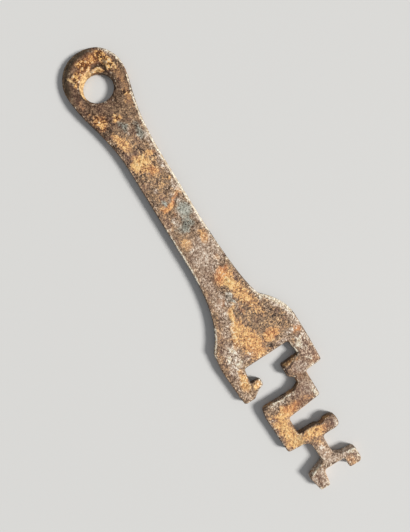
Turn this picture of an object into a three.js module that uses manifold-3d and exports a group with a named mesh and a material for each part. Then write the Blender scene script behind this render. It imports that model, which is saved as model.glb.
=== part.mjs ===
// A flat padlock key, forged and filed out of one bar.
//
// Units are millimetres. X runs from the eye towards the tip of the bit, Y runs across the key
// towards the spine that carries the wards, and Z runs up from the face that the key lies on.
// The outline is drawn from a point beside the eye, and the finished key is then moved so that
// the origin is under the middle of its bounding box.

import * as THREE from 'three';
import { ConvexGeometry } from 'three/addons/geometries/ConvexGeometry.js';
import { mergeVertices, toCreasedNormals } from 'three/addons/utils/BufferGeometryUtils.js';
import Module from 'manifold-3d';

// The bar, and the wear along every edge of both its faces.
const THICKNESS = 2.5;
const WORN_EDGE = 0.2;
const WORN_DEPTH = 0.3;

// The bow, a disc with its middle a little behind and beside the line of the shank.
const BOW_WIDTH = 18.3;
const BOW_BACK = 3;
const BOW_SHIFT = -0.1;

// The eye, an oval hole with a lip that its ring wore, mostly on the side towards the bow's end.
const EYE_ACROSS = 9.2;
const EYE_ALONG = 8.8;
const EYE_BACK = 0.6;
const EYE_SHIFT = -0.4;
const EYE_LIP = 0.7;
const EYE_LIP_DEPTH = 0.6;
const EYE_PULL = 0.3;

// The curved mark that a punch left between the eye and the end of the bow.
const MARK_RADIUS = 1.8;
const MARK_STROKE = 1.1;
const MARK_DEPTH = 0.5;
const MARK_BACK = 3.8;
const MARK_SHIFT = 2.7;
const MARK_TURN = -0.75;

// The shank, between the taper from the bow and the flare into the plate.
const BOW_TAPER = 24;
const SHANK_WIDTH = 10.1;
const SHANK_LENGTH = 31;

// The plate: its neck and shoulders on the spine side (+Y) and on the prong side (-Y).
const SPINE_LEAD = 10;
const SPINE_FLARE = 17.3;
const SPINE_NECK = 7.8;
const SPINE_SHOULDER = 11.4;
const SPINE_EDGE = 13.45;
const SPINE_END_EDGE = 13.1;
const PRONG_FLARE = 25.4;
const PRONG_SHOULDER = 11.8;
const PRONG_SHOULDER_RUN = 5.5;
const PRONG_EDGE = 12.4;
const PRONG_END_EDGE = 11.7;

// The slot through the plate, between the hooked prong and the spine.
const PLATE_LENGTH = 32.9;
const SLOT_HEIGHT = 5;
const SLOT_SKEW = 0.4;
const PRONG_WIDTH = 4.9;
const SPINE_WIDTH = 5;
const SLOT_DRAFT = 0.7;

// The hook on the prong, and the tab that faces it from the spine.
const PRONG_LENGTH = 9.1;
const HOOK_REACH = 3;
const HOOK_DEPTH = 2;
const HOOK_HEEL = 1.1;
const TAB_REACH = 5.9;
const TAB_DEPTH = 3.5;
const SPINE_LENGTH = 9.3;

// The neck and the comb: a back, an upper arm and a lower arm with a dip before its round end.
const NECK_WIDTH = 3.5;
const NECK_OFFSET = 5.9;
const COMB_GAP = 3.5;
const COMB_BACK_EDGE = 8.85;
const COMB_BACK = 5.45;
const UPPER_ARM = 5.1;
const UPPER_ARM_SKEW = 0.8;
const COMB_SLOT = 6.1;
const LOWER_ARM = 3.3;
const LOWER_ARM_REACH = 8.15;
const ARM_DIP = 0.6;
const DIP_WIDTH = 1.4;
const ARM_END = 3.2;

// The tang and the forked tip: a crossbar with one long and one short leg.
const TANG_WIDTH = 3.6;
const TANG_OFFSET = 0.3;
const TANG_LENGTH = 7.1;
const CROSSBAR = 1.9;
const TIP_PRONG_EDGE = 7.1;
const TIP_SPINE_EDGE = 8.25;
const PRONG_SWEEP = 1.6;
const SPINE_SWEEP = 0.8;
const LEG_WIDTH = 4;
const LEG_SPLAY = 1.1;
const LEG_TAPER = 0.6;
const LONG_LEG = 6.35;
const SHORT_LEG = 5;

// Rounding of the filed corners: tight, usual and well worn.
const TIGHT = 0.45;
const FILED = 0.7;
const WORN = 1.2;

// The sloping facets filed on the tab and on the nose of the hook.
const TAB_FACET = 1.4;
const TAB_FACET_FOOT = 0.5;
const NOSE_FACET_DROP = 0.7;

// How finely curves are stepped, and how far cutters stand clear of what they cut.
const SWEEP_STEPS = 14;
const CORNER_STEPS = 3;
const EYE_STEPS = 36;
const MARK_STEPS = 16;
const CLEAR = 1;

// Distances along the key from the point beside the eye, each measured from the one before.
const flareX = BOW_TAPER + SHANK_LENGTH;
const neckX = flareX + SPINE_FLARE;
const shoulderX = flareX + PRONG_FLARE;
const slotX = flareX + PLATE_LENGTH;
const hookX = slotX + SLOT_HEIGHT;
const prongEndX = slotX + PRONG_LENGTH;
const spineEndX = slotX + SPINE_LENGTH;
const combX = spineEndX + COMB_GAP;
const combSlotX = combX + UPPER_ARM;
const lowerArmX = combSlotX + COMB_SLOT;
const combEndX = lowerArmX + LOWER_ARM;
const crossX = combEndX + TANG_LENGTH;
const forkX = crossX + CROSSBAR;

// Distances across the key from the middle of the shank.
const halfShank = SHANK_WIDTH / 2;
const prongInner = -(PRONG_EDGE - PRONG_WIDTH);
const spineInner = SPINE_EDGE - SPINE_WIDTH;
const hookTip = prongInner + HOOK_REACH;
const tabTip = spineInner - TAB_REACH;
const neckInner = NECK_OFFSET - NECK_WIDTH / 2;
const neckOuter = NECK_OFFSET + NECK_WIDTH / 2;
const combInner = COMB_BACK - COMB_BACK_EDGE;
const tangProng = TANG_OFFSET - TANG_WIDTH / 2;
const tangSpine = TANG_OFFSET + TANG_WIDTH / 2;

// A corner of the outline, rounded by about the radius given.
function corner(x, y, radius = 0) {
  return { at: new THREE.Vector2(x, y), radius };
}

// The points of a long sweep. Each handle says how far it leaves along its end's direction.
function sweep(from, fromHandle, toHandle, to) {
  const curve = new THREE.CubicBezierCurve(
    new THREE.Vector2(...from),
    new THREE.Vector2(...from).add(new THREE.Vector2(...fromHandle)),
    new THREE.Vector2(...to).add(new THREE.Vector2(...toHandle)),
    new THREE.Vector2(...to),
  );
  return curve.getPoints(SWEEP_STEPS).map((p) => corner(p.x, p.y));
}

// The closed outline as points, each rounded corner as a short curve no longer than half its sides.
function rounded(corners) {
  const points = [];
  corners.forEach(({ at, radius }, i) => {
    if (radius === 0) {
      points.push(at);
      return;
    }
    const before = corners.at(i - 1).at.clone().sub(at);
    const after = corners[(i + 1) % corners.length].at.clone().sub(at);
    const half = Math.abs(before.angleTo(after)) / 2;
    const length = Math.min(radius / Math.tan(half), before.length() / 2, after.length() / 2);
    const start = at.clone().add(before.setLength(length));
    const end = at.clone().add(after.setLength(length));
    points.push(...new THREE.QuadraticBezierCurve(start, at, end).getPoints(CORNER_STEPS));
  });
  return points.filter((p, i) => p.distanceTo(points.at(i - 1)) > 1e-3);
}

// The prong side from the bow to the prong's end, in the direction of +X.
function prongSide() {
  const bowEdge = BOW_SHIFT - BOW_WIDTH / 2;
  const run = BOW_BACK + BOW_TAPER;
  const flat = shoulderX + PRONG_SHOULDER_RUN;
  return [
    ...sweep([-BOW_BACK, bowEdge], [run * 0.33, 0], [-run * 0.47, 0], [BOW_TAPER, -halfShank]),
    ...sweep(
      [flareX, -halfShank],
      [PRONG_FLARE * 0.55, 0],
      [-PRONG_FLARE * 0.2, PRONG_SHOULDER * 0.36],
      [shoulderX, -PRONG_SHOULDER],
    ),
    corner(flat, -PRONG_EDGE, WORN),
    corner(prongEndX, -PRONG_END_EDGE, FILED),
  ];
}

// The prong's end, its hook and the slot, round to the root of the tab.
function prongAndSlot() {
  return [
    corner(prongEndX, prongInner - HOOK_HEEL, FILED),
    corner(hookX + HOOK_DEPTH + HOOK_HEEL / 2, prongInner + HOOK_HEEL, FILED),
    corner(hookX + HOOK_DEPTH, hookTip, TIGHT),
    corner(hookX, hookTip, FILED),
    corner(hookX, prongInner, TIGHT),
    corner(slotX + SLOT_SKEW, prongInner + SLOT_DRAFT, FILED),
    corner(slotX, spineInner - SLOT_DRAFT, FILED),
    corner(hookX - SLOT_SKEW, spineInner, TIGHT),
  ];
}

// The tab's blunt end with the nick under it, and the inner side of the neck.
function tabAndNeck() {
  const tabEndX = hookX + TAB_DEPTH;
  return [
    corner(hookX, tabTip, TIGHT),
    corner(tabEndX, tabTip, TIGHT),
    corner(tabEndX + TIGHT, (tabTip + neckInner) / 2, TIGHT),
    corner(spineEndX + TIGHT, neckInner, FILED),
    corner(combX - COMB_GAP / 3, neckInner, FILED),
    corner(combX, tabTip - FILED, WORN),
  ];
}

// The comb's back and foot, as far as the tang.
function combBack() {
  return [
    corner(combX, -COMB_BACK_EDGE + TIGHT, WORN),
    corner(combX + UPPER_ARM / 2, -COMB_BACK_EDGE, WORN),
    corner(combEndX - TIGHT, -COMB_BACK_EDGE + TIGHT, FILED),
    corner(combEndX, tangProng, 2 * WORN),
  ];
}

// The forked tip, from the prong side of the tang round to its spine side.
function tip() {
  const longEndX = crossX + LONG_LEG;
  const shortEndX = crossX + SHORT_LEG;
  return [
    corner(crossX - TIGHT, tangProng, FILED),
    corner(crossX + PRONG_SWEEP, -TIP_PRONG_EDGE, TIGHT),
    corner(longEndX, -TIP_PRONG_EDGE + LEG_SPLAY, FILED),
    corner(longEndX, -TIP_PRONG_EDGE + LEG_WIDTH, FILED),
    corner(forkX, -TIP_PRONG_EDGE + LEG_WIDTH + LEG_TAPER, WORN),
    corner(forkX, TIP_SPINE_EDGE - LEG_WIDTH, TIGHT),
    corner(shortEndX, TIP_SPINE_EDGE - LEG_WIDTH, TIGHT),
    corner(shortEndX, TIP_SPINE_EDGE, WORN),
    corner(crossX + SPINE_SWEEP, TIP_SPINE_EDGE, FILED),
    corner(crossX + SPINE_SWEEP / 2, TIP_SPINE_EDGE - LEG_WIDTH, WORN),
    corner(crossX - FILED, tangSpine, WORN),
  ];
}

// The lower arm of the comb with its dip and round end, then the slot above it.
function combArms() {
  const dipX = lowerArmX + ARM_DIP;
  const dipOuter = LOWER_ARM_REACH - ARM_END;
  const dipInner = dipOuter - 2 * DIP_WIDTH;
  return [
    corner(combEndX + TIGHT, tangSpine, WORN),
    corner(combEndX + TIGHT, LOWER_ARM_REACH, 1.4 * WORN),
    corner(lowerArmX, LOWER_ARM_REACH, 1.3 * WORN),
    corner(lowerArmX, dipOuter, FILED),
    corner(dipX, dipOuter - DIP_WIDTH / 2, FILED),
    corner(dipX, dipInner + DIP_WIDTH / 2, FILED),
    corner(lowerArmX, dipInner, FILED),
    corner(lowerArmX, combInner, TIGHT),
    corner(combSlotX + UPPER_ARM_SKEW, combInner, FILED),
    corner(combSlotX - TIGHT, neckOuter, FILED),
  ];
}

// The spine side from the neck back to the shank, in the direction of -X.
function spineSide() {
  const flat = slotX - PLATE_LENGTH / 8;
  return [
    corner(spineEndX + TIGHT, neckOuter, FILED),
    corner(spineEndX, SPINE_END_EDGE, FILED),
    corner(slotX + TIGHT, SPINE_EDGE, WORN),
    ...sweep(
      [flat, SPINE_EDGE],
      [-SPINE_SHOULDER * 0.45, 0],
      [SPINE_SHOULDER * 0.27, SPINE_SHOULDER * 0.3],
      [neckX, SPINE_NECK],
    ),
    ...sweep(
      [neckX, SPINE_NECK],
      [-SPINE_FLARE * 0.22, -SPINE_FLARE * 0.1],
      [SPINE_FLARE * 0.76, SPINE_FLARE * 0.015],
      [flareX - SPINE_LEAD, halfShank],
    ),
  ];
}

// The bow from the shank on the spine side round its end to where the outline began.
function bow() {
  const radius = BOW_WIDTH / 2;
  const run = BOW_BACK + BOW_TAPER;
  const end = new THREE.ArcCurve(-BOW_BACK, BOW_SHIFT, radius, Math.PI / 2, Math.PI * 1.5);
  return [
    ...sweep(
      [BOW_TAPER, halfShank],
      [-run * 0.62, 0],
      [run * 0.2, 0],
      [-BOW_BACK, BOW_SHIFT + radius],
    ),
    ...end.getPoints(2 * SWEEP_STEPS).map((p) => corner(p.x, p.y)),
  ];
}

// The outline of the whole key with the eye through it.
function outline() {
  const shape = new THREE.Shape(
    rounded([
      ...prongSide(),
      ...prongAndSlot(),
      ...tabAndNeck(),
      ...combBack(),
      ...tip(),
      ...combArms(),
      ...spineSide(),
      ...bow(),
    ]),
  );
  const eye = new THREE.Path();
  eye.absellipse(-EYE_BACK, EYE_SHIFT, EYE_ALONG / 2, EYE_ACROSS / 2, 0, 2 * Math.PI);
  shape.holes.push(eye);
  return shape;
}

// The bar cut to the outline, with worn edges, resting on Z 0.
function cutBar() {
  const bar = new THREE.ExtrudeGeometry(outline(), {
    depth: THICKNESS - 2 * WORN_DEPTH,
    bevelThickness: WORN_DEPTH,
    bevelSize: WORN_EDGE,
    bevelOffset: -WORN_EDGE,
    bevelSegments: 2,
    curveSegments: EYE_STEPS / 2,
  });
  bar.translate(0, 0, WORN_DEPTH);
  return bar;
}

// What the ring wore off the eye: a cone from each face, wide at the face and narrow inside.
function lipCutter(faceZ, inward) {
  const radius = EYE_ALONG / 2;
  const slope = EYE_LIP / EYE_LIP_DEPTH;
  const height = EYE_LIP_DEPTH + CLEAR;
  const cone = new THREE.CylinderGeometry(radius + slope * height, radius, height, EYE_STEPS);
  cone.rotateX((-inward * Math.PI) / 2);
  cone.translate(0, 0, faceZ + inward * (EYE_LIP_DEPTH - height / 2));
  cone.scale(1, EYE_ACROSS / EYE_ALONG, 1);
  cone.translate(-EYE_BACK - EYE_PULL, EYE_SHIFT, 0);
  return cone;
}

// What the punch pressed into the upper face: a ring that leans, so that only one side of it bites.
function markCutter() {
  const stroke = MARK_STROKE / 2;
  const ring = new THREE.TorusGeometry(MARK_RADIUS, stroke, MARK_STEPS / 2, MARK_STEPS * 2);
  ring.rotateY(-Math.asin(MARK_DEPTH / MARK_RADIUS));
  ring.rotateZ(MARK_TURN);
  ring.translate(-EYE_BACK - MARK_BACK, EYE_SHIFT + MARK_SHIFT, THICKNESS + stroke);
  return ring;
}

// What the file took off the tab: a facet that widens from the spine to the tab's end.
function tabFacetCutter() {
  const top = THICKNESS + CLEAR;
  const low = hookX - CLEAR;
  const reach = tabTip - CLEAR;
  const points = [
    [hookX - SLOT_SKEW, spineInner, THICKNESS],
    [hookX - SLOT_SKEW, spineInner, top],
    [low, spineInner, THICKNESS],
    [low, spineInner, top],
    [hookX + TAB_FACET, reach, THICKNESS],
    [hookX + TAB_FACET, reach, top],
    [hookX - TIGHT, reach, TAB_FACET_FOOT],
    [low, reach, TAB_FACET_FOOT],
    [low, reach, top],
  ];
  return new ConvexGeometry(points.map((p) => new THREE.Vector3(...p)));
}

// What the file took off the hook's nose, which slopes down from the prong to its tip.
function noseFacetCutter() {
  const top = THICKNESS + CLEAR;
  const outer = hookTip + CLEAR / 2;
  const drop = THICKNESS - NOSE_FACET_DROP;
  const points = [hookX - CLEAR, hookX + HOOK_DEPTH + HOOK_HEEL + CLEAR].flatMap((x) => [
    [x, prongInner + TIGHT, THICKNESS],
    [x, prongInner + TIGHT, top],
    [x, outer, drop],
    [x, outer, top],
  ]);
  return new ConvexGeometry(points.map((p) => new THREE.Vector3(...p)));
}

const wasm = await Module();
wasm.setup();

function toSolid(geometry) {
  const bare = geometry.clone();
  bare.deleteAttribute('normal');
  bare.deleteAttribute('uv');
  const merged = mergeVertices(bare, 1e-4);
  return new wasm.Manifold(
    new wasm.Mesh({
      numProp: 3,
      vertProperties: new Float32Array(merged.getAttribute('position').array),
      triVerts: new Uint32Array(merged.index.array),
    }),
  );
}

function toGeometry(solid) {
  const mesh = solid.getMesh();
  const geometry = new THREE.BufferGeometry();
  geometry.setAttribute('position', new THREE.BufferAttribute(mesh.vertProperties, 3));
  geometry.setIndex(new THREE.BufferAttribute(mesh.triVerts, 1));
  return toCreasedNormals(geometry, Math.PI / 6);
}

function makeKey() {
  const cutters = [
    lipCutter(0, 1),
    lipCutter(THICKNESS, -1),
    markCutter(),
    tabFacetCutter(),
    noseFacetCutter(),
  ];
  const solid = cutters.reduce((key, cutter) => key.subtract(toSolid(cutter)), toSolid(cutBar()));
  const patina = new THREE.MeshStandardMaterial({
    color: 0x7a6049,
    roughness: 0.72,
    metalness: 0.35,
  });
  const key = new THREE.Mesh(toGeometry(solid), patina);
  key.name = 'key';
  key.geometry.computeBoundingBox();
  const middle = key.geometry.boundingBox.getCenter(new THREE.Vector3());
  key.position.set(-middle.x, -middle.y, 0);
  return key;
}

const group = new THREE.Group();
group.add(makeKey());

export default group;
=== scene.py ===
import math

import bmesh
import bpy
import numpy as np
from mathutils import Matrix, Vector, noise
from mathutils.kdtree import KDTree


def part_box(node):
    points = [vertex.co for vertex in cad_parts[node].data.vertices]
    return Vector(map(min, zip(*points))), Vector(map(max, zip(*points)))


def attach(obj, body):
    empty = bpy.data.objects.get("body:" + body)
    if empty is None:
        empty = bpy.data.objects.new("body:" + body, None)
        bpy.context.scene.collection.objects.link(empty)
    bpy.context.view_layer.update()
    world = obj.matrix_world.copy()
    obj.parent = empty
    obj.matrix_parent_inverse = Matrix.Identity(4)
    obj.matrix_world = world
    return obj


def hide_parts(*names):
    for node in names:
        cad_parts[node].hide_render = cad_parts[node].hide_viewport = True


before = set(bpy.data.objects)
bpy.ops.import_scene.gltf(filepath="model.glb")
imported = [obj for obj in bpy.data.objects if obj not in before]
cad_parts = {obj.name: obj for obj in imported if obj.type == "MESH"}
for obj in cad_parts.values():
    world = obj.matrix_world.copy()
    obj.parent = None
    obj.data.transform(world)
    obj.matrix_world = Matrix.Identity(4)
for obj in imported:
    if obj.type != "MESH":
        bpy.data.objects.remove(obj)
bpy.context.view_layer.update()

MM = 0.001

# The photograph's camera: straight above one point of the key, turned about the vertical.
# X of the key runs along KEY_RIGHT and KEY_DOWN in the picture, Y along their perpendicular.
KEY_RIGHT = 0.524
KEY_DOWN = 0.852
CAMERA_X = 57.9
CAMERA_Y = -0.99
CAMERA_HEIGHT = 107.8 * MM
CAMERA_LENS = 26.05
NEAREST = 0.01
FARTHEST = 20

# The soft lamp, the world's light and the floor.
LAMP_WAY = Vector((-0.38, -0.42, -0.40))
LAMP_SPREAD = math.radians(16)
LAMP_STRENGTH = 4.2
LAMP_COLOUR = (1, 0.98, 0.95)
WORLD_COLOUR = (0.95, 0.97, 1, 1)
WORLD_STRENGTH = 0.3
FLOOR_SIZE = 6
FLOOR_GAP = 0.02 * MM
FLOOR_COLOUR = (0.66, 0.66, 0.65, 1)
FLOOR_ROUGHNESS = 0.8

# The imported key's box, and where its drawing starts: the point beside the eye from which this
# script's places are given in millimetres, BOW_END from one end and PRONG_EDGE from one side.
LOW, HIGH = (Vector(corner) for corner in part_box("key"))
BOW_END = 12.15
PRONG_EDGE = 12.4
START_X = LOW.x + BOW_END * MM
START_Y = LOW.y + PRONG_EDGE * MM

# The eye: its middle, half its length and half its width, in the same millimetres. Its lip,
# worn and with a painted highlight, lies towards LIP_WAY; its sizes are shares of the eye's.
EYE_X = -0.9
EYE_Y = -0.4
EYE_ALONG = 4.4
EYE_ACROSS = 4.6
LIP_WAY = (-0.59, -0.81)
LIP_INSIDE = (0.88, 0.96)
LIP_WIDTH = 0.07
LIP_FADE = 0.06
THIN_LIP = 0.6

# The disc of the bow, and its rim towards SHADE_WAY as far along as RIM_STOP: worn, with painted
# shade.
BOW_X = -3.0
BOW_RADIUS = 9.15
SHADE_WAY = (-0.8, -0.6)
RIM_INSIDE = (0.68, 0.9)
RIM_STOP = 3

# Stretches of the key's length over which the bow's looks end and the bit's begin.
BOW_LOOKS = (16, 7)
BIT_LOOKS = (86, 96)

# The skin's mesh, and the sizes of its waves, patches and grains, in millimetres.
VOXEL = 0.225
BROAD_SIZE = 9
MIDDLE_SIZE = 2.4
FINE_SIZE = 0.8
PATCHY_SIZE = 5.5
GRAIN_SIZE = 0.7
BEND_SIZE = 2.0
BENT_GRAINS = 0.3
BENT_PATCHES = 0.8
RELAX_SHARE = 0.5
RELAX_STEPS = 3

# The sharp edges of the CAD key, and the points that mark them.
SHARP_ANGLE = math.radians(28)
EDGE_STEP = 0.25
SAME_PLACE = 0.001

# The noise: what each octave keeps and how much finer it is, and how far apart the seeds lie.
OCTAVE_SHARE = 0.9
OCTAVE_STEP = 2.1
SEED_STEP = (17.3, -9.1, 5.7)
TONE_STEP = 29

# How sharply a patch ends.
PATCH_POWER = 1.4
PATCH_RATE = 0.7

# The skin's relief, in millimetres.
SKIN_DEPTH = 0.1
WALL_SHARE = 0.15
BROAD_DEPTH = 0.045
MIDDLE_DEPTH = 0.035
FINE_DEPTH = 0.03
PIT_DEPTH = 0.06
EDGE_DEPTH = 0.05
EDGE_ROUND = 0.8
CRUST_HEIGHT = 0.1
BOW_CRUST_HEIGHT = 0.08
GRAIN_HEIGHT = 0.04
WALL_HEIGHT = 0.07
HIGHEST = 0.1
DEEPEST = 0.7

# The edges: how widely they are made pale, by wear and by painted highlight, and how strongly all
# are rubbed pale; and how widely and how deeply the bow's rim is worn down.
PALE_EDGE_WIDTH = 0.38
RUBBED_SHARE = 0.32
SUNK_WIDTH = 1.0
RIM_SUNK = 0.55

# How strong the finishes are on the walls and on the underside. On the walls the dark and the
# olive are painted shade with some grime, and the pale is painted light.
WALL_OCHRE = 0.8
WALL_LIGHT = 0.9
WALL_SHADE = 0.75
WALL_OLIVE_SHADE = 0.7
BIT_WALL_LIGHT = 0.2
UNDER_SLATE = 0.8
UNDER_PALE = 0.7
UNDER_DARK = 0.3


def srgb(red, green, blue):
    """A colour written as 0 to 255 sRGB, as the linear values that a shader takes."""
    def linear(value):
        value /= 255
        return value / 12.92 if value <= 0.04045 else ((value + 0.055) / 1.055) ** 2.4
    return (linear(red), linear(green), linear(blue), 1)


# The colours of each finish, from its dark grains to its light ones.
BROWN_SKIN = [
    (0.04, srgb(38, 28, 22)),
    (0.20, srgb(84, 64, 49)),
    (0.36, srgb(124, 100, 80)),
    (0.52, srgb(160, 132, 105)),
    (0.66, srgb(198, 156, 113)),
    (0.80, srgb(234, 186, 124)),
    (0.96, srgb(255, 222, 156)),
]
BOW_CRUST = [
    (0.04, srgb(52, 32, 18)),
    (0.30, srgb(104, 66, 38)),
    (0.50, srgb(150, 100, 58)),
    (0.68, srgb(206, 148, 84)),
    (0.82, srgb(238, 180, 104)),
    (0.96, srgb(254, 206, 132)),
]
BLUE_GREY = [
    (0.1, srgb(92, 88, 78)),
    (0.5, srgb(160, 160, 148)),
    (0.9, srgb(214, 214, 202)),
]
PALE_METAL = [
    (0.1, srgb(124, 102, 86)),
    (0.5, srgb(198, 174, 153)),
    (0.9, srgb(246, 238, 224)),
]
GOLD_GRAINS = (srgb(204, 144, 78), srgb(255, 224, 160))
EDGE_GRAINS = (srgb(192, 168, 138), srgb(248, 242, 224))
LIP_GRAINS = (srgb(168, 130, 86), srgb(238, 200, 142))

# Colours that are mixed into the finishes.
RED_RUST = srgb(200, 116, 44)
PLUM_RUST = srgb(136, 96, 90)
ORANGE_RUST = srgb(224, 138, 78)
PALE_SPECK = srgb(230, 210, 186)
# Painted shade: the first darkens and browns the bow, the second darkens the walls and the bow's
# rim.
SHADE_UMBER = srgb(84, 54, 24)
OLIVE_SHADE = srgb(60, 50, 34)

# The fine bumps, and the shine of the metal.
BUMP_STRENGTH = 0.8
BUMP_HEIGHT = 0.5 * MM
SHINE = 0.3

# A colour mix node's sockets.
MIX_SHARE = 0
MIX_FROM = 6
MIX_TO = 7
MIX_RESULT = 2

# Where the photographed key shows each finish: x and y from the point beside the eye, half length,
# half width in millimetres, turn in degrees from the key's length, and strength.

# Ochre crust.
OCHRE = [
    (-6.6, 5.2, 3.0, 1.4, 20, 1.3),
    (-8.2, 2.4, 1.4, 2.4, 0, 0.95),
    (-7.8, -0.6, 2.0, 1.8, 0, 1.1),
    (-6.2, -3.2, 1.3, 2.1, 0, 1.05),
    (-4.9, -4.4, 1.1, 0.8, 0, 0.7),
    (-3.8, -5.5, 0.9, 0.5, -25, 0.9),
    (-3.4, 5.2, 1.2, 0.8, 0, 0.9),
    (1.8, -6.8, 2.0, 0.8, 0, 0.5),
    (4.9, -6.3, 1.0, 0.8, 0, 0.45),
    (-4.5, 2.1, 1.1, 1.0, 0, 1.1),
    (-0.5, 6.6, 4.5, 1.4, 0, 0.5),
    (5.5, 5.6, 3.2, 1.1, -12, 0.55),
    (9.9, -0.5, 1.1, 1.1, 0, 1.0),
    (8.4, -4.9, 2.5, 2.1, -20, 0.95),
    (16.2, -3.0, 3.3, 1.3, 18, 0.95),
    (23.7, -1.7, 2.0, 2.2, 0, 1.5),
    (26.2, -0.6, 1.3, 1.9, 0, 0.9),
    (22.8, 2.2, 0.9, 1.5, 0, 0.8),
    (27.3, 0.4, 1.4, 1.6, 0, 0.8),
    (31.5, 1.5, 3.4, 2.6, 0, 0.2),
    (31.2, 3.0, 0.8, 0.5, 0, 0.7),
    (35.6, 3.7, 1.1, 0.9, -40, 0.7),
    (37.0, 1.6, 1.9, 0.42, -58, 1.0),
    (38.7, -0.7, 1.2, 0.45, -45, 1.0),
    (38.8, -2.2, 1.0, 0.6, 45, 0.9),
    (50.6, 3.0, 2.2, 1.3, 0, 0.8),
    (50.2, -2.2, 2.2, 1.7, 0, 0.55),
    (57.2, 3.0, 1.2, 1.0, 0, 0.55),
    (63.3, 2.1, 3.0, 2.3, 10, 0.72),
    (65.3, 2.4, 1.3, 1.2, 0, 1.4),
    (69.3, 3.7, 6.0, 2.0, 15, 0.75),
    (74.5, 5.5, 4.0, 1.8, 15, 0.5),
    (74.0, 1.4, 1.2, 0.8, 0, 0.5),
    (74.2, -1.9, 3.0, 0.8, -18, 1.1),
    (77.2, -1.2, 1.8, 0.8, -10, 0.8),
    (78.0, -3.4, 3.0, 1.2, -25, 1.15),
    (81.3, -5.3, 1.8, 0.8, -40, 0.9),
    (83.0, -1.2, 5.2, 2.8, 5, 0.9),
    (83.8, 4.6, 1.4, 2.5, 0, 1.0),
    (87.2, -1.0, 0.8, 4.4, 0, 0.6),
    (86.3, 12.0, 1.2, 1.0, 0, 0.85),
    (91.2, -8.8, 3.0, 1.4, -5, 1.0),
    (87.7, -8.2, 1.0, 0.9, 0, 0.8),
    (94.2, -5.8, 1.2, 1.1, 0, 0.8),
    # Painted light: the tab's filed facet, which faces away from the lamp, made yellower and paler.
    (93.2, 5.4, 0.8, 2.6, -8, 0.8),
    (97.6, 5.6, 1.5, 1.2, 0, 0.15),
    (104.3, 4.4, 1.2, 1.8, 0, 0.45),
    (104.7, -3.4, 1.5, 4.0, 0, 1.0),
    (109.4, -5.9, 5.4, 1.9, 0, 1.0),
    (113.7, 0.2, 1.4, 3.1, 0, 1.0),
    (118.5, 0.4, 3.6, 1.3, 0, 0.6),
    (126.0, 5.5, 1.6, 1.6, 0, 0.65),
    (125.8, -4.5, 1.4, 1.1, 0, 0.45),
]

# Where the edges are not rubbed pale: round the punch mark and beside the crusted flank.
UNRUBBED = [(-4.9, 3.2, 2.6, 2.0, 45, 1.0), (8.8, -6.3, 3.4, 0.9, 12, 1.0)]

# The bright round spot where the plate begins.
DISC = [(65.3, 2.4, 1.2, 1.1, 0, 3.0)]

# The pale scratch on the bow.
STREAK = [(-5.9, -5.9, 1.5, 0.35, 28, 1.0)]

# Gold grains in the crust.
GOLD = [
    (-4.6, 2.1, 1.1, 1.1, 0, 1.3),
    (-5.0, 4.9, 1.7, 0.6, 12, 1.3),
    (23.8, -1.6, 1.9, 2.2, 0, 1.3),
    (19.4, -1.8, 1.1, 0.8, 0, 0.7),
    (50.8, -2.8, 2.0, 1.6, 0, 0.6),
    (65.3, 2.4, 1.3, 1.2, 0, 1.8),
    (74.2, -2.0, 3.0, 1.0, -18, 1.4),
    (77.5, -3.0, 3.2, 1.1, -22, 0.9),
    (91.4, -8.8, 2.8, 1.3, 0, 1.2),
    # Painted light: the tab's filed facet, made golden as if lit.
    (93.2, 5.4, 0.8, 2.6, -8, 0.8),
    (94.0, -5.9, 1.1, 1.4, 0, 1.4),
    (108.5, -5.6, 4.5, 1.4, 0, 0.9),
    (111.3, -3.5, 1.7, 0.9, 0, 1.6),
    (113.5, -4.8, 1.6, 1.4, 0, 2.0),
    (113.3, 0.2, 1.1, 2.1, 0, 0.8),
]

# Orange rust.
ORANGE = [
    (-8.0, 1.0, 2.5, 4.0, 0, 0.55),
    (8.4, -4.9, 2.4, 1.9, -20, 0.45),
    (27.3, 0.6, 1.6, 1.8, 0, 0.6),
    (37.6, 0.9, 2.5, 0.6, -56, 0.8),
    (38.8, -2.0, 1.0, 0.8, 45, 0.8),
    (41.2, -0.5, 1.4, 0.3, -30, 0.5),
    (61.2, 2.0, 0.9, 2.2, 8, 1.2),
    (63.2, 1.6, 1.4, 2.0, 8, 1.3),
    (69.5, -2.8, 1.8, 1.6, 0, 0.6),
    (84.6, -1.0, 3.0, 2.4, 0, 0.5),
    (83.7, 4.8, 1.4, 2.5, 0, 0.6),
    (86.3, 12.0, 1.2, 1.0, 0, 0.8),
    (98.0, 5.6, 1.8, 1.3, 0, 0.45),
    (104.6, -1.5, 1.3, 4.0, 0, 0.7),
    (114.0, 3.6, 1.2, 1.6, 0, 0.6),
    (96.2, 12.0, 1.6, 2.0, 0, 0.4),
]

# Blue-grey metal.
SLATE = [
    (15.8, 3.3, 2.8, 1.3, 0, 0.8),
    (12.8, 0.1, 1.7, 1.3, 20, 0.8),
    (37.2, -1.5, 1.2, 0.8, 0, 1.0),
    (41.3, 2.5, 2.8, 1.8, 0, 1.1),
    (43.9, 1.2, 1.6, 1.2, -20, 0.9),
    (45.5, 0.5, 1.5, 2.6, 10, 1.0),
    (43.6, -1.5, 1.1, 0.8, 0, 0.7),
    (52.6, -2.4, 0.7, 0.7, 0, 0.6),
    (69.2, 0.2, 2.0, 0.7, 5, 1.2),
    (72.4, 0.6, 1.6, 0.6, 10, 0.4),
]

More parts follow.
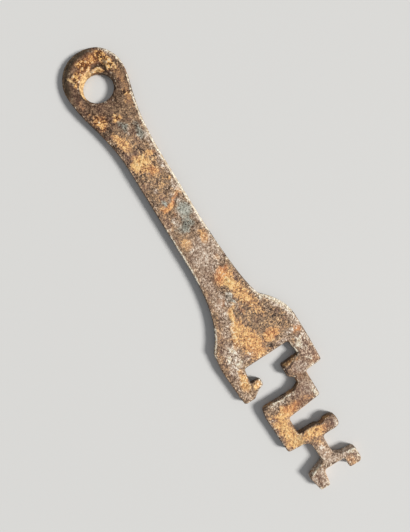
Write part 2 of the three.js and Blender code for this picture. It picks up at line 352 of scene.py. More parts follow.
# Pale metal.
PALE = [
    (-6.9, 7.9, 1.8, 0.45, 25, 1.1),
    (-8.8, 6.6, 0.9, 0.5, 55, 1.1),
    (-10.3, 2.8, 0.4, 0.5, 0, 0.9),
    (-6.0, -5.9, 1.1, 0.25, 30, 1.2),
    (4.8, 0.9, 0.4, 0.3, 0, 0.8),
    (13.6, 1.2, 0.5, 0.35, 0, 1.1),
    (15.0, 0.3, 0.6, 0.4, -30, 1.1),
    (26.0, 3.2, 0.5, 0.4, 0, 0.9),
    (33.1, -1.9, 0.7, 0.7, 0, 1.3),
    (19.5, 4.4, 5.0, 0.9, 0, 0.7),
    (26.9, 4.3, 3.4, 0.9, 0, 0.95),
    (33.8, 4.1, 2.6, 1.1, 0, 0.85),
    (34.7, 1.6, 1.2, 1.0, 0, 0.5),
    (36.6, 1.3, 0.9, 1.3, 0, 0.85),
    (38.0, 2.4, 1.4, 1.6, 0, 0.7),
    (36.2, -4.0, 1.6, 0.7, 0, 0.5),
    (41.5, 0.2, 1.8, 0.6, 0, 0.6),
    (45.0, 4.3, 3.4, 0.8, 0, 0.8),
    (47.2, 2.2, 1.2, 1.1, 0, 0.6),
    (54.6, 4.2, 4.8, 1.2, 0, 0.8),
    (43.5, -1.4, 1.4, 0.9, 0, 0.8),
    (50.6, 1.1, 1.3, 1.0, 0, 1.0),
    (55.2, 0.0, 5.4, 4.2, 0, 0.8),
    (58.0, -0.4, 1.4, 1.6, 0, 1.0),
    (46.0, -4.0, 5.0, 0.7, 0, 0.4),
    (62.5, -3.0, 4.0, 1.6, 0, 0.6),
    (67.6, -1.3, 1.8, 0.9, 0, 0.8),
    (70.1, -1.1, 1.5, 0.6, 0, 0.9),
    (69.0, 0.1, 1.6, 0.6, 5, 0.85),
    (71.0, -3.7, 7.5, 1.5, -8, 0.65),
    (72.2, 7.3, 1.6, 0.7, 35, 1.0),
    (76.8, 7.8, 1.4, 1.0, 0, 0.4),
    (76.6, -5.6, 2.4, 1.2, -20, 0.6),
    (74.0, 9.2, 2.0, 0.9, 48, 1.3),
    (77.4, 11.1, 2.2, 1.1, 32, 1.2),
    (80.6, 12.5, 2.6, 0.7, 8, 1.1),
    (83.5, -7.6, 3.8, 2.2, -10, 0.85),
    (82.0, -7.2, 1.0, 0.7, 0, 1.3),
    (86.4, -4.8, 1.0, 0.9, 0, 0.7),
    (86.5, -7.8, 1.1, 2.1, 0, 1.3),
    (84.0, -9.0, 1.4, 0.7, 0, 1.1),
    (89.6, 10.2, 1.6, 0.9, 0, 1.2),
    (83.5, 12.6, 3.6, 1.2, 0, 0.85),
    (88.8, 12.7, 2.4, 0.8, 0, 0.75),
    (85.8, 9.8, 0.8, 2.2, 0, 0.9),
    (87.3, 7.0, 0.8, 2.2, 0, 0.9),
    (96.0, 7.4, 2.4, 2.2, 0, 0.7),
    (92.5, 10.9, 4.2, 2.2, 0, 0.42),
    (85.8, -3.4, 1.2, 1.6, 0, 0.6),
    (88.4, -10.0, 2.4, 1.1, 0, 0.75),
    (92.0, -11.3, 3.0, 0.7, 0, 0.6),
    (89.2, -7.5, 1.4, 0.4, 0, 0.6),
    (94.0, -5.6, 0.9, 1.0, 0, 0.4),
    (95.0, -9.6, 2.2, 1.8, 0, 0.5),
    (102.0, -2.5, 0.9, 5.5, 0, 0.5),
    (101.0, 5.6, 2.0, 1.6, 0, 0.5),
    (102.4, 5.6, 1.6, 1.2, 0, 0.5),
    (103.4, 7.0, 2.6, 0.9, 0, 1.2),
    (104.8, -7.4, 0.5, 0.9, 0, 0.9),
    (113.8, 7.4, 1.1, 0.7, 0, 0.9),
    (114.9, 6.4, 0.8, 1.2, 0, 0.9),
    (119.7, 0.2, 2.9, 1.5, 0, 0.92),
    (122.5, 1.2, 1.4, 2.4, 0, 0.8),
    (123.4, -0.3, 0.8, 1.4, 0, 0.9),
    (123.8, -3.4, 1.0, 1.2, 0, 0.7),
    (123.9, 7.4, 1.2, 0.9, 0, 1.0),
    (126.3, 5.0, 0.8, 0.8, 0, 0.7),
    (123.2, 6.0, 0.8, 3.2, 0, 1.1),
    (124.0, -1.5, 1.2, 1.2, 0, 0.6),
    (126.3, -4.0, 2.6, 1.2, 0, 0.7),
    (126.0, -6.2, 2.4, 0.7, 8, 1.0),
    (125.4, 6.3, 2.2, 1.8, 0, 0.55),
    # Painted light: the fork's bevel beside its wall, made pale as if lit.
    (121.7, 3.2, 1.0, 1.0, 0, 1.3),
    (-5.5, 4.6, 0.7, 0.35, 20, 1.0),
]

# Dark metal and grime, and painted shade: over the whole bow, on the bow's left rim and beside two
# walls of the bit.
DARK_AND_SHADE = [
    # Painted shade: the whole bow darker, as if less lit than the bit.
    (-2.0, 0.0, 11.0, 10.0, 0, 0.85),
    # Painted shade in these two: the bow's left rim, away from the lamp.
    (-9.9, -3.3, 2.4, 1.6, -55, 1.1),
    (-9.5, 0.2, 1.0, 3.6, 0, 1.25),
    (-9.5, 5.1, 0.8, 1.2, -50, 1.1),
    (-7.0, -5.1, 0.8, 0.9, 0, 1.5),
    (-1.0, -7.2, 6.5, 1.1, 0, 0.8),
    (4.2, 2.0, 1.2, 1.6, 0, 0.9),
    (-0.5, -5.7, 2.2, 0.8, 0, 1.3),
    (5.6, -4.3, 1.3, 1.2, 0, 1.2),
    (12.4, -5.7, 1.7, 0.7, 10, 1.3),
    (26.0, -4.2, 1.6, 0.8, 0, 1.1),
    (29.8, -1.6, 2.6, 1.8, 0, 0.5),
    (12.0, -4.0, 1.2, 1.0, 0, 2.0),
    (8.0, -4.6, 3.5, 2.6, -15, 1.22),
    (9.4, -6.4, 1.8, 0.5, 12, 1.4),
    (15.9, -5.1, 2.8, 0.6, 5, 1.2),
    (20.5, -3.9, 2.6, 0.7, 0, 1.1),
    (20.6, -1.2, 0.9, 2.4, 0, 1.15),
    (15.4, 3.3, 2.3, 1.2, 0, 1.0),
    (35.3, -1.3, 1.1, 0.8, 0, 0.6),
    (41.5, -1.5, 1.4, 0.8, 0, 0.7),
    (33.0, -4.2, 2.6, 0.6, 0, 0.6),
    (45.7, 0.6, 1.3, 2.0, 0, 0.6),
    (12.8, 0.1, 1.7, 1.3, 20, 1.0),
    (61.0, -2.2, 2.2, 1.4, 0, 0.35),
    (64.5, 5.0, 1.1, 0.7, 0, 1.3),
    (67.0, 6.0, 3.0, 0.6, 5, 0.5),
    (78.0, 7.2, 5.5, 2.4, 20, 0.28),
    (98.2, 5.4, 2.0, 1.6, 0, 0.6),
    (86.9, 3.2, 1.0, 0.5, 0, 1.3),
    (103.0, 4.8, 2.2, 2.6, 0, 0.3),
    (105.2, 4.2, 0.8, 1.0, 0, 0.7),
    (104.8, 1.4, 1.1, 1.8, 0, 0.9),
    (102.5, -3.5, 0.6, 2.2, 0, 0.8),
    # Painted shade: beside the comb's left wall.
    (100.6, -7.0, 0.6, 1.2, 0, 1.2),
    # Painted shade, with some grime: beside the wall of the comb slot's far side.
    (111.9, 4.1, 0.8, 1.5, 0, 1.7),
    (97.4, 3.9, 0.9, 0.7, 0, 1.0),
    (125.6, -4.6, 1.3, 0.9, 0, 1.2),
    (123.6, 1.0, 0.6, 0.9, 0, 0.8),
    (113.6, 5.8, 1.0, 1.2, 0, 0.4),
]

# Plum rust.
PLUM = [
    (0.0, -7.0, 6.0, 1.2, 0, 0.5),
    (4.5, -2.5, 2.4, 1.8, 0, 0.5),
    (-6.5, 6.8, 1.5, 0.9, 25, 0.8),
    (17.0, 1.4, 2.4, 1.0, 0, 0.6),
    (20.8, -2.6, 2.0, 2.0, 0, 0.8),
    (35.4, -1.4, 1.5, 0.9, 0, 1.0),
    (41.5, -3.6, 3.0, 1.0, 0, 0.7),
    (56.0, -1.0, 6.0, 4.0, 0, 0.4),
    (63.0, -3.0, 4.0, 1.8, 0, 0.6),
    (64.5, 5.0, 1.2, 0.7, 0, 1.0),
    (72.5, 1.0, 2.2, 0.7, 8, 1.0),
    (79.5, -8.0, 4.0, 2.0, -25, 0.6),
    (85.8, -4.2, 1.6, 1.0, 0, 0.9),
    (86.0, -10.5, 5.0, 1.2, 0, 0.5),
    (92.5, 11.4, 5.0, 2.2, 0, 1.0),
    (95.4, 7.0, 1.8, 3.0, 0, 0.9),
    (102.6, 4.0, 2.8, 3.2, 0, 0.9),
    (109.0, -8.2, 5.0, 0.7, 0, 0.6),
    (113.8, 6.2, 1.4, 1.4, 0, 0.9),
    (125.0, -4.6, 2.4, 1.6, 0, 0.7),
]

# Rims and spots made bright: rubbed by wear, and painted highlight on the plate's shoulder rim,
# which faces the lamp.
CREAM_AND_HIGHLIGHT = [
    (-6.9, 7.9, 1.6, 0.35, 25, 0.6),
    (73.6, 8.6, 1.9, 0.6, 52, 0.95),
    (76.8, 11.2, 2.2, 0.8, 36, 1.3),
    (80.4, 12.6, 2.4, 0.5, 10, 0.7),
    (89.6, 10.0, 1.5, 0.6, -10, 0.9),
    (91.8, 11.2, 1.0, 0.6, 30, 0.5),
    (89.0, 11.6, 0.8, 0.5, -30, 0.7),
    (94.6, 10.4, 0.7, 0.5, 20, 0.7),
    (82.0, -7.2, 1.2, 0.6, 20, 1.1),
    (86.2, -7.0, 0.7, 1.3, 0, 1.1),
    (83.8, -8.8, 1.0, 0.5, -20, 0.9),
    (101.4, -2.2, 0.35, 4.4, 0, 0.85),
    (104.3, 6.9, 1.7, 0.7, 0, 0.9),
    (123.7, 7.0, 0.8, 1.3, 0, 0.85),
    (123.2, -1.0, 0.6, 0.8, 0, 0.5),
    (57.9, -0.2, 0.9, 1.2, 0, 0.4),
]

# Narrow dark lines: the punch mark's arch, the small ring mark, and painted crease shade along
# the edges of the filed facets.
LINES = [
    (-6.1, 2.8, 1.1, 0.42, 74, 2.4),
    (-4.9, 4.0, 1.2, 0.24, 24, 2.2),
    (-3.4, 4.1, 0.6, 0.3, -14, 1.3),
    (93.9, 5.4, 3.0, 0.25, -64, 2.4),
    (72.8, -0.95, 2.2, 0.2, 2, 1.3),
    (94.9, 2.9, 1.4, 0.25, 0, 2.0),
    (33.1, -1.9, 0.32, 0.32, 0, 2.0),
    (123.1, -5.2, 2.0, 0.22, -74, 2.2),
    (95.3, -6.2, 1.2, 0.25, -75, 1.6),
    (122.9, 6.0, 1.8, 0.2, 68, 0.9),
]

# Stretches of the upper face's edges made pale: rubbed by wear, and painted highlight where they
# face the lamp.
RUBBED_AND_HIGHLIT = [
    (13.0, 7.0, 9.0, 2.4, -10, 1.1),
    (33.0, 5.3, 17.0, 1.4, 0, 1.3),
    (-6.0, 7.6, 4.0, 2.0, 30, 0.8),
    (2.0, 8.6, 2.0, 0.8, -5, 1.0),
    (54.0, -5.2, 8.5, 1.2, 0, 1.0),
    (56.0, 5.2, 8.0, 1.2, 0, 0.6),
    (76.0, 10.4, 7.0, 3.0, 38, 1.3),
    (92.0, 13.2, 6.0, 1.2, 0, 0.4),
    (78.0, -9.8, 5.0, 1.6, -38, 0.9),
    (100.9, -2.0, 1.0, 5.0, 0, 0.4),
    (94.5, -4.8, 2.0, 1.2, 0, 0.8),
    (91.0, 8.6, 2.5, 1.0, 0, 0.8),
    (97.4, 10.0, 1.0, 4.0, 0, 0.7),
    (123.2, -4.8, 1.2, 3.0, 0, 0.9),
    (124.4, 7.8, 2.4, 1.0, 0, 0.9),
    (128.2, -4.5, 1.0, 2.6, 0, 0.7),
    (109.0, -8.4, 5.0, 1.0, 0, 0.5),
]

# Where the cut walls are made pale: painted light, as if the lamp fell on them.
LIT_WALLS = [(100.3, -3.0, 1.2, 6.0, 0, 0.45), (123.5, 0.5, 7.0, 12.0, 0, 0.95)]

# Where the skin's grain is faint.
CALM = [
    (2.0, 6.4, 5.5, 1.8, -5, 1.0),
    (54.5, 0.0, 6.5, 5.5, 0, 1.0),
    (66.0, -4.0, 6.0, 2.5, -5, 0.6),
    (100.5, 5.8, 5.5, 3.4, 0, 0.9),
    (118.5, 0.3, 3.5, 2.0, 0, 0.4),
    (125.0, 0.4, 4.2, 9.0, 0, 0.9),
]

# Where the skin's grain is strong.
ROUGH = [
    (8.4, -4.9, 3.0, 2.2, -20, 3.0),
    (16.2, -3.0, 3.5, 1.8, 18, 1.0),
    (24.3, -1.2, 3.6, 3.2, 0, 2.6),
    (31.5, 0.0, 5.0, 3.5, 0, 0.5),
    (64.0, 2.0, 4.0, 3.0, 0, 1.4),
    (72.0, 4.5, 7.0, 3.0, 15, 1.0),
    (79.0, 7.5, 6.0, 3.0, 20, 1.0),
    (84.0, -7.6, 4.0, 2.4, -10, 0.9),
    (92.5, 11.0, 4.5, 2.2, 0, 0.6),
    (109.0, -5.5, 5.5, 2.6, 0, 0.6),
    (105.0, -2.0, 1.6, 5.0, 0, 0.5),
]

# Dents in the upper face, with their depth in millimetres in the place of a strength.
DENTS = [
    (-5.9, 2.9, 1.2, 0.4, 72, 0.15),
    (-4.6, 4.0, 1.1, 0.4, 20, 0.15),
    (12.0, -4.0, 1.1, 0.9, 0, 0.2),
    (72.8, -0.95, 2.2, 0.25, 2, 0.12),
    (38.1, 1.0, 2.2, 0.4, -56, 0.12),
    (64.5, 5.0, 1.0, 0.6, 0, 0.12),
    (33.1, -1.9, 0.35, 0.35, 0, 0.15),
    (33.0, -4.2, 2.4, 0.6, 0, 0.12),
]

# The plate's worn shoulder, with its depth in millimetres in the place of a strength.
SHOULDER = [(76.7, 11.2, 6.0, 1.8, 42, 0.3)]


def add_camera():
    """The photograph's camera, looking straight down."""
    data = bpy.data.cameras.new("camera")
    data.lens = CAMERA_LENS
    data.clip_start = NEAREST
    data.clip_end = FARTHEST
    camera = bpy.data.objects.new("camera", data)
    bpy.context.scene.collection.objects.link(camera)
    right = Vector((KEY_RIGHT, KEY_DOWN, 0)).normalized()
    up = Vector((-right.y, right.x, 0))
    place = Matrix((right, up, (0, 0, 1))).transposed().to_4x4()
    place.translation = (START_X + CAMERA_X * MM, START_Y + CAMERA_Y * MM, HIGH.z + CAMERA_HEIGHT)
    camera.matrix_world = place
    bpy.context.scene.camera = camera


def add_light():
    """One even soft lamp from the right of the picture and a pale world."""
    world = bpy.data.worlds.new("world")
    world.use_nodes = True
    background = world.node_tree.nodes["Background"]
    background.inputs["Color"].default_value = WORLD_COLOUR
    background.inputs["Strength"].default_value = WORLD_STRENGTH
    bpy.context.scene.world = world
    data = bpy.data.lights.new("key_lamp", "SUN")
    data.angle = LAMP_SPREAD
    data.energy = LAMP_STRENGTH
    data.color = LAMP_COLOUR
    lamp = bpy.data.objects.new("key_lamp", data)
    bpy.context.scene.collection.objects.link(lamp)
    lamp.rotation_euler = LAMP_WAY.to_track_quat("-Z", "Y").to_euler()


def add_floor():
    """A plain pale floor just under the key."""
    bpy.ops.mesh.primitive_plane_add(size=FLOOR_SIZE, location=(0, 0, LOW.z - FLOOR_GAP))
    floor = bpy.context.object
    floor.name = "floor"
    material = bpy.data.materials.new("floor")
    material.use_nodes = True
    shader = material.node_tree.nodes["Principled BSDF"]
    shader.inputs["Base Color"].default_value = FLOOR_COLOUR
    shader.inputs["Roughness"].default_value = FLOOR_ROUGHNESS
    floor.data.materials.append(material)


def smooth(low, high, value):
    """A soft step, from 0 at low to 1 at high."""
    share = np.clip((value - low) / (high - low), 0, 1)
    return share * share * (3 - 2 * share)


def near(distance, width):
    """How near something is, from 1 where it touches to 0 well beyond that width."""
    return np.exp(-((distance / width) ** 2))


def covered(points, patches):
    """How strongly each point lies inside the patches. Where they overlap, the strongest counts."""
    total = np.zeros(len(points))
    for x, y, length, width, turn, strength in patches:
        turn = math.radians(turn)
        dx = points[:, 0] - x
        dy = points[:, 1] - y
        along = (dx * math.cos(turn) + dy * math.sin(turn)) / length
        across = (-dx * math.sin(turn) + dy * math.cos(turn)) / width
        reach = along**2 + across**2
        total = np.maximum(total, strength * np.exp(-(reach**PATCH_POWER) * PATCH_RATE))
    return total


def eye_lip(points):
    """The eye's pale lip, worn and with painted highlight on its slope: wide towards LIP_WAY, thin
    by the shank.
    """
    x = (points[:, 0] - EYE_X) / EYE_ALONG
    y = (points[:, 1] - EYE_Y) / EYE_ACROSS
    reach = np.hypot(x, y)
    side = (LIP_WAY[0] * x + LIP_WAY[1] * y) / reach
    wide = smooth(0.3, 0.7, side)
    thin = THIN_LIP * smooth(-0.35, 0.1, side) * smooth(-0.6, 0.2, x)
    outer = 1.0 + LIP_WIDTH * wide
    inside = smooth(*LIP_INSIDE, reach)
    return inside * smooth(outer + LIP_FADE, outer, reach) * np.maximum(wide, thin)


def rim_away_from_lamp(points):
    """The bow's rim on the side away from the lamp, worn down and given painted shade."""
    x = (points[:, 0] - BOW_X) / BOW_RADIUS
    y = points[:, 1] / BOW_RADIUS
    reach = np.hypot(x, y)
    side = (SHADE_WAY[0] * x + SHADE_WAY[1] * y) / np.maximum(reach, 0.1)
    return smooth(*RIM_INSIDE, reach) * smooth(0.2, 0.8, side) * (points[:, 0] < RIM_STOP)


def noise_place(seed):
    """A place of its own in the noise for each seed."""
    return Vector([seed * step for step in SEED_STEP])


def grains(points, size, seed):
    """Grains of that size: from 0 in the gaps to 1 in their middles, and each grain's own tone."""
    shift = noise_place(seed)
    inside = np.empty(len(points))
    tone = np.empty(len(points))
    for i, p in enumerate(points):
        reach, middles = noise.voronoi(Vector(p) / size + shift)
        inside[i] = reach[1] - reach[0]
        tone[i] = noise.cell(middles[0] * TONE_STEP)
    return smooth(0.0, 0.5, inside), tone


def fractal(points, size, octaves, seed):
    """Fractal noise at points in millimetres, about -1 to 1, with features of that size."""
    shift = noise_place(seed)
    shape = (OCTAVE_SHARE, OCTAVE_STEP, octaves)
    places = (Vector(p) / size + shift for p in points)
    return np.array([noise.fractal(p, *shape, noise_basis="PERLIN_NEW") for p in places])


def edge_distance(mesh, points):
    """The distance in millimetres from each point to the nearest sharp edge of the CAD key."""
    shape = bmesh.new()
    shape.from_mesh(mesh)
    bmesh.ops.remove_doubles(shape, verts=shape.verts, dist=SAME_PLACE * MM)
    marks = []
    for edge in shape.edges:
        if len(edge.link_faces) == 2 and edge.calc_face_angle(0) > SHARP_ANGLE:
            a, b = (vert.co / MM for vert in edge.verts)
            steps = max(1, int((b - a).length / EDGE_STEP))
            marks.extend(a.lerp(b, i / steps) for i in range(steps + 1))
    shape.free()
    tree = KDTree(len(marks))
    for i, mark in enumerate(marks):
        tree.insert(mark, i)
    tree.balance()
    return np.array([tree.find(p)[2] for p in points])


def skin_mesh(source):
    """A copy of the CAD key's mesh, made even and fine."""
    piece = bpy.data.objects.new("forged_key", source.copy())
    bpy.context.scene.collection.objects.link(piece)
    remesh = piece.modifiers.new("remesh", "REMESH")
    remesh.mode = "VOXEL"
    remesh.voxel_size = VOXEL * MM
    remesh.use_smooth_shade = True
    relax = piece.modifiers.new("relax", "SMOOTH")
    relax.factor = RELAX_SHARE
    relax.iterations = RELAX_STEPS
    evaluated = piece.evaluated_get(bpy.context.evaluated_depsgraph_get())
    piece.data = bpy.data.meshes.new_from_object(evaluated)
    piece.modifiers.clear()
    return piece


def read_vectors(collection, field):
    """One vector for each item of a mesh's collection."""
    values = np.empty(len(collection) * 3)
    collection.foreach_get(field, values)
    return values.reshape(-1, 3)


class Skin:
    """The key's fine mesh, with what is known at each of its points, in millimetres."""

    def __init__(self, mesh, source):
        self.mesh = mesh
        self.points = read_vectors(mesh.vertices, "co") / MM
        self.normals = read_vectors(mesh.vertex_normals, "vector")
        self.flat = self.points - np.array([START_X / MM, START_Y / MM, 0])
        self.edge = edge_distance(source, self.points)
        self.find_sides()
        self.add_noise()
        self.mask_colours()
        self.mask_crust()

    def find_sides(self):
        """How far each point belongs to the faces, walls, bow and rim; the walls' painted shade and
        light.
        """
        up = self.normals[:, 2]
        along = self.flat[:, 0]
        self.upper = smooth(0.2, 0.8, up)
        self.under = smooth(0.2, 0.8, -up)
        self.face = np.maximum(self.upper, self.under)
        self.wall = 1 - self.face
        self.lit_wall = covered(self.flat, LIT_WALLS)
        lit_share = np.maximum(self.lit_wall, BIT_WALL_LIGHT * smooth(*BIT_LOOKS, along))
        self.shaded_wall = self.wall * (1 - lit_share)
        self.bow = smooth(*BOW_LOOKS, along) * self.upper
        self.worn_rim_shade = rim_away_from_lamp(self.flat)

    def add_noise(self):
        """Waves and patches, grains, and the points bent a little so that no patch is round."""
        self.broad = fractal(self.points, BROAD_SIZE, octaves=3, seed=1)
        self.middle = fractal(self.points, MIDDLE_SIZE, octaves=4, seed=2)
        self.fine = fractal(self.points, FINE_SIZE, octaves=3, seed=3)
        self.patchy = fractal(self.points, PATCHY_SIZE, octaves=5, seed=4)
        bend_x = fractal(self.points, BEND_SIZE, octaves=3, seed=6)
        bend_y = fractal(self.points, BEND_SIZE, octaves=3, seed=7)
        bend = np.stack([bend_x, bend_y, 0 * bend_x], 1)
        self.grain, self.tone = grains(self.points + BENT_GRAINS * bend, GRAIN_SIZE, seed=8)
        self.bent = self.flat + BENT_PATCHES * bend

    def mask_colours(self):
        """Where each colour shows: by the patches above, by noise on the walls and underside;
        painted shade and light on walls.
        """
        dark = np.maximum(covered(self.bent, DARK_AND_SHADE), covered(self.flat, LINES)) * self.upper
        ochre = (covered(self.bent, OCHRE) - 0.8 * smooth(0.9, 1.6, dark)) * self.upper
        ochre += WALL_OCHRE * (1 - self.upper) * smooth(-0.05, 0.45, self.patchy)
        slate = covered(self.bent, SLATE) * self.upper
        slate += UNDER_SLATE * self.under * smooth(0.12, 0.4, -self.patchy)
        pale = covered(self.bent, PALE) * self.upper
        pale += UNDER_PALE * self.under * smooth(0.1, 0.45, self.broad)
        # Painted light: the pale of the lit walls.
        pale += WALL_LIGHT * self.wall * self.lit_wall
        # Painted shade, with some grime, on the other walls.
        dark += WALL_SHADE * self.shaded_wall + UNDER_DARK * self.under
        gold = np.maximum(covered(self.bent, GOLD), covered(self.flat, DISC))
        self.masks = {
            "ochre": ochre,
            "slate": slate,
            "pale": pale,
            "dark": dark,
            "tint": (covered(self.bent, ORANGE) - gold) * self.upper,
            "plum": covered(self.bent, PLUM) * self.upper,
            # Painted shade: the olive of the walls, with some grime, and of the bow's rim.
            "olive": np.maximum(WALL_OLIVE_SHADE * self.shaded_wall, self.worn_rim_shade),
            "lip": np.maximum(eye_lip(self.flat), covered(self.flat, STREAK) * self.upper),
            "rubbed_and_highlit": self.rubbed_and_highlit(),
            "bow": self.bow,
        }

    def rubbed_and_highlit(self):
        """Pale metal along the edges and on the bright patches: wear, and painted highlight facing
        the lamp.
        """
        rim = smooth(-0.1, 0.3, self.normals[:, 2])
        everywhere = RUBBED_SHARE * self.face * (1 - covered(self.flat, UNRUBBED))
        edges = np.maximum(everywhere, covered(self.flat, RUBBED_AND_HIGHLIT) * rim)
        edges = near(self.edge, PALE_EDGE_WIDTH) * edges
        return np.maximum(edges, covered(self.bent, CREAM_AND_HIGHLIGHT) * self.upper) * (1 - self.worn_rim_shade)

    def mask_crust(self):
        """Where the crust stands, where the bare skin is pitted, and how strong the grain is."""
        ochre = self.masks["ochre"]
        crust = smooth(0.4, 0.9, ochre + 0.4 * self.middle + 0.2 * self.fine)
        pits = smooth(0.25, 0.5, self.fine + 0.5 * self.middle) * (1 - crust) * self.face
        grit = 0.9 * (self.tone - self.tone.mean()) + 0.9 * (self.grain - self.grain.mean())
        grit *= 0.35 + crust * (0.25 + 0.55 * self.bow)
        rough = covered(self.flat, ROUGH) * self.upper
        rough -= covered(self.flat, CALM) * (1.8 - 0.8 * self.face)
        self.masks.update(crust=crust, pits=pits, grit=grit, rough=rough)

    def depth(self):
        """How deep each point is worn in along its normal."""
        crust = self.masks["crust"]
        waves = SKIN_DEPTH + BROAD_DEPTH * self.broad + MIDDLE_DEPTH * self.middle
        depth = (WALL_SHARE + (1 - WALL_SHARE) * self.face) * waves
        depth += PIT_DEPTH * self.masks["pits"] + FINE_DEPTH * np.abs(self.fine) * self.face
        depth += covered(self.flat, DENTS) * self.upper
        depth += near(self.edge, EDGE_ROUND) * self.face * EDGE_DEPTH * (1 + self.middle)
        depth -= crust * (CRUST_HEIGHT + BOW_CRUST_HEIGHT * self.bow) * self.grain
        depth -= (1 - crust) * GRAIN_HEIGHT * self.grain
        depth -= WALL_HEIGHT * self.wall
        return np.clip(depth, -HIGHEST, DEEPEST)

    def shape(self):
        """Moves each point in by its depth, and down where the upper edge is worn lower."""
        sunk = np.maximum(RIM_SUNK * self.worn_rim_shade, covered(self.flat, SHOULDER))
        sunk *= near(self.edge, SUNK_WIDTH) * smooth(0.5, 2.3, self.points[:, 2])
        moved = self.points - self.normals * self.depth()[:, None]
        moved[:, 2] -= sunk
        moved = np.clip(moved, np.array(LOW) / MM, np.array(HIGH) / MM)
        self.mesh.vertices.foreach_set("co", (moved * MM).ravel())

    def store_masks(self):
        """Keeps the masks on the mesh, where the material reads them."""
        for name, values in self.masks.items():
            attribute = self.mesh.attributes.new(name, "FLOAT", "POINT")
            attribute.data.foreach_set("value", values)
        self.mesh.update()


class Nodes:
    """Shorthand for building a material's node tree."""

    def __init__(self, tree):
        self.tree = tree

    def link(self, value, socket):
        """Gives a socket its value, from another node or as a number or colour."""
        if isinstance(value, bpy.types.NodeSocket):
            self.tree.links.new(value, socket)
        else:
            socket.default_value = value

    def add(self, kind, **fields):
        """A new node with those settings."""
        node = self.tree.nodes.new(kind)
        for field, value in fields.items():
            setattr(node, field, value)
        return node

    def mask(self, name):
        """One of the masks that the skin keeps on the mesh."""
        return self.add("ShaderNodeAttribute", attribute_name=name).outputs["Fac"]

    def noise(self, size, detail, rough, seed, stretch=1.0):
        """Noise, about 0 to 1, with features of that size in millimetres, stretched along X."""
        place = self.add("ShaderNodeTexCoord").outputs["Object"]
        squeeze = self.add("ShaderNodeVectorMath", operation="MULTIPLY")
        self.link(place, squeeze.inputs[0])
        squeeze.inputs[1].default_value = (1 / stretch, 1, 1)
        node = self.add("ShaderNodeTexNoise", noise_dimensions="4D")
        self.link(squeeze.outputs["Vector"], node.inputs["Vector"])
        node.inputs["W"].default_value = seed
        node.inputs["Scale"].default_value = 1 / (size * MM)
        node.inputs["Detail"].default_value = detail
        node.inputs["Roughness"].default_value = rough
        return node.outputs["Fac"]

    def math(self, operation, a, b=0.0, c=0.0):
        """The result of one operation on up to three values."""
        node = self.add("ShaderNodeMath", operation=operation)
        for value, socket in zip((a, b, c), node.inputs):
            self.link(value, socket)
        return node.outputs[0]

    def plus(self, value, share, base):
        """The base with that share of a value added to it."""
        return self.math("MULTIPLY_ADD", value, share, base)

    def ramp(self, value, low, high, to_low=0.0, to_high=1.0):
        """A soft step, from one value at low to another at high."""
        node = self.add("ShaderNodeMapRange", interpolation_type="SMOOTHSTEP")
        self.link(value, node.inputs["Value"])
        node.inputs["From Min"].default_value = low
        node.inputs["From Max"].default_value = high
        node.inputs["To Min"].default_value = to_low
        node.inputs["To Max"].default_value = to_high
        return node.outputs["Result"]

    def colours(self, value, stops):
        """A colour for each value, from stops of a place and a colour."""
        node = self.add("ShaderNodeValToRGB")
        points = node.color_ramp.elements
        while len(points) < len(stops):
            points.new(0.5)
        for point, (place, colour) in zip(points, stops):
            point.position = place
            point.color = colour
        self.link(value, node.inputs["Fac"])
        return node.outputs["Color"]

    def mix(self, share, a, b):
        """Colour a with that share of colour b over it."""
        node = self.add("ShaderNodeMix", data_type="RGBA")
        self.link(share, node.inputs[MIX_SHARE])
        self.link(a, node.inputs[MIX_FROM])
        self.link(b, node.inputs[MIX_TO])
        return node.outputs[MIX_RESULT]


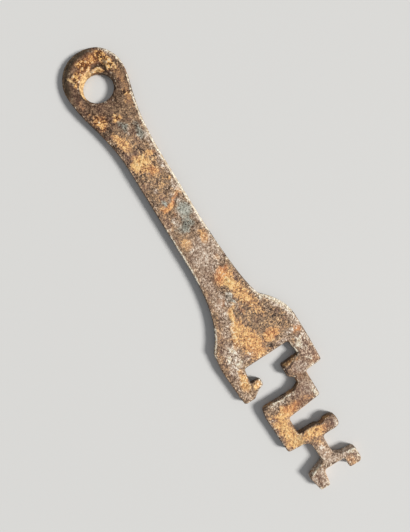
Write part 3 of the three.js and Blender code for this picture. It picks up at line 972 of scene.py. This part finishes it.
class Rust(Nodes):
    """The key's finishes, each laid over the one before it where its mask is."""

    def __init__(self, tree):
        super().__init__(tree)
        self.speckle = self.noise(size=0.65, detail=3, rough=0.75, seed=1)
        self.fine = self.noise(size=0.38, detail=1, rough=0.5, seed=2)
        self.cloud = self.noise(size=3.0, detail=3, rough=0.6, seed=3)
        self.hue = self.noise(size=1.6, detail=3, rough=0.6, seed=4)
        self.scratch = self.noise(size=0.35, detail=2, rough=0.5, seed=5, stretch=9)
        shade = self.math("ADD", self.around(self.speckle, 2.6), self.around(self.fine, 3.0))
        shade = self.math("ADD", shade, self.around(self.cloud, 1.3))
        self.plain_shade = self.math("ADD", shade, self.mask("grit"))
        self.bow_crust = self.math("MULTIPLY", self.mask("crust"), self.mask("bow"))
        strength = self.plus(self.mask("crust"), 0.5, 1.0)
        strength = self.plus(self.bow_crust, 1.2, strength)
        strength = self.plus(self.mask("rough"), 0.35, strength)
        self.shade = self.math("MULTIPLY", self.plain_shade, strength)
        self.bare = self.broken("slate", 0.2, 1.1, 0.45)

    def around(self, value, amount):
        """Noise as a shift to both sides of zero."""
        return self.plus(value, amount, -amount / 2)

    def broken(self, name, low, high, amount):
        """A mask whose rim is broken up by the grain."""
        return self.ramp(self.plus(self.plain_shade, amount, self.mask(name)), low, high)

    def grained(self, dark, light, low):
        """A mix of two colours that follows the grain."""
        return self.mix(self.ramp(self.speckle, low, 0.62), dark, light)

    def ground(self):
        """The brown skin and the ochre crust, which is brighter on the bow."""
        crusted = self.broken("ochre", 0.15, 0.75, 0.16)
        tone = self.plus(crusted, 0.28, 0.48)
        tone = self.plus(self.mask("dark"), -0.2, tone)
        tone = self.plus(self.mask("pits"), -0.1, tone)
        tone = self.plus(self.shade, 0.34, tone)
        skin = self.colours(tone, BROWN_SKIN)
        crust = self.mix(0.24, skin, RED_RUST)
        crust = self.mix(self.bow_crust, crust, self.colours(tone, BOW_CRUST))
        return self.mix(crusted, skin, crust)

    def tinted(self, colour):
        """Plum, orange and gold places in the rust."""
        plum = self.math("MAXIMUM", self.mask("plum"), self.ramp(self.hue, 0.52, 0.7))
        colour = self.mix(plum, colour, self.mix(0.3, colour, PLUM_RUST))
        orange = self.ramp(self.mask("tint"), 0.0, 1.2)
        colour = self.mix(orange, colour, self.mix(0.42, colour, ORANGE_RUST))
        gold = self.ramp(self.mask("tint"), 0.0, -2.0)
        return self.mix(gold, colour, self.mix(0.65, colour, self.grained(*GOLD_GRAINS, 0.38)))

    def bared(self, colour):
        """Blue-grey and pale metal where the rust is thin."""
        tone = self.plus(self.mask("dark"), -0.2, 0.5)
        slate = self.colours(self.plus(self.shade, 0.34, tone), BLUE_GREY)
        tone = self.plus(self.shade, 0.5, tone)
        pale = self.colours(self.math("ADD", tone, self.around(self.scratch, 0.5)), PALE_METAL)
        colour = self.mix(self.bare, colour, slate)
        return self.mix(self.broken("pale", 0.15, 1.15, 0.32), colour, pale)

    def specked(self, colour):
        """Pale specks, fewer on the bow, on the crust and on calm metal."""
        dots = self.noise(size=0.5, detail=2, rough=0.6, seed=6)
        specks = self.ramp(dots, 0.6, 0.7, to_high=0.55)
        faint = self.math("MAXIMUM", self.mask("bow"), self.mask("crust"))
        faint = self.math("MAXIMUM", faint, self.math("MULTIPLY", self.mask("rough"), -0.6))
        specks = self.math("MULTIPLY", specks, self.plus(faint, -0.75, 1.0))
        return self.mix(specks, colour, PALE_SPECK)

    def painted_shade(self, colour):
        """Painted shade: the bow darkened and browned, dark olive on the walls with some grime, and
        on the bow's rim.
        """
        bow_shade = self.plus(self.bow_crust, -0.5, self.mask("bow"))
        colour = self.mix(bow_shade, colour, self.mix(0.2, colour, SHADE_UMBER))
        olive = self.broken("olive", 0.2, 0.9, 0.3)
        return self.mix(olive, colour, self.mix(0.7, colour, OLIVE_SHADE))

    def rubbed_and_highlit(self, colour):
        """The cream of the rubbed edges and the yellow of the eye's lip, both partly painted
        highlight.
        """
        edges = self.broken("rubbed_and_highlit", 0.25, 0.75, 0.35)
        colour = self.mix(edges, colour, self.grained(*EDGE_GRAINS, 0.4))
        lip = self.broken("lip", 0.2, 1.0, 0.3)
        return self.mix(lip, colour, self.grained(*LIP_GRAINS, 0.4))

    def bump(self):
        """The fine grain as bumps too small for the mesh."""
        height = self.plus(self.speckle, 0.7, self.math("MULTIPLY", self.fine, 0.4))
        node = self.add("ShaderNodeBump")
        node.inputs["Strength"].default_value = BUMP_STRENGTH
        node.inputs["Distance"].default_value = BUMP_HEIGHT
        self.link(height, node.inputs["Height"])
        return node.outputs["Normal"]


def rusted_metal():
    """The material of the whole key."""
    material = bpy.data.materials.new("rusted_metal")
    material.use_nodes = True
    shader = material.node_tree.nodes["Principled BSDF"]
    rust = Rust(material.node_tree)
    colour = rust.tinted(rust.ground())
    colour = rust.specked(rust.bared(colour))
    colour = rust.rubbed_and_highlit(rust.painted_shade(colour))
    roughness = rust.plus(rust.mask("crust"), 0.14, 0.66)
    roughness = rust.math("ADD", roughness, rust.around(rust.fine, 0.3))
    rust.link(colour, shader.inputs["Base Color"])
    rust.link(rust.plus(rust.bare, 0.2, 0.06), shader.inputs["Metallic"])
    rust.link(roughness, shader.inputs["Roughness"])
    rust.link(rust.bump(), shader.inputs["Normal"])
    shader.inputs["Specular IOR Level"].default_value = SHINE
    return material


def make_key():
    """The rusted key, which stands for the CAD key."""
    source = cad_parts["key"].data
    piece = skin_mesh(source)
    skin = Skin(piece.data, source)
    skin.shape()
    skin.store_masks()
    piece.data.materials.clear()
    piece.data.materials.append(rusted_metal())
    piece.data.shade_smooth()
    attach(piece, "root")
    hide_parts("key")


add_camera()
add_light()
add_floor()
make_key()

bpy.context.scene.view_settings.view_transform = "Standard"
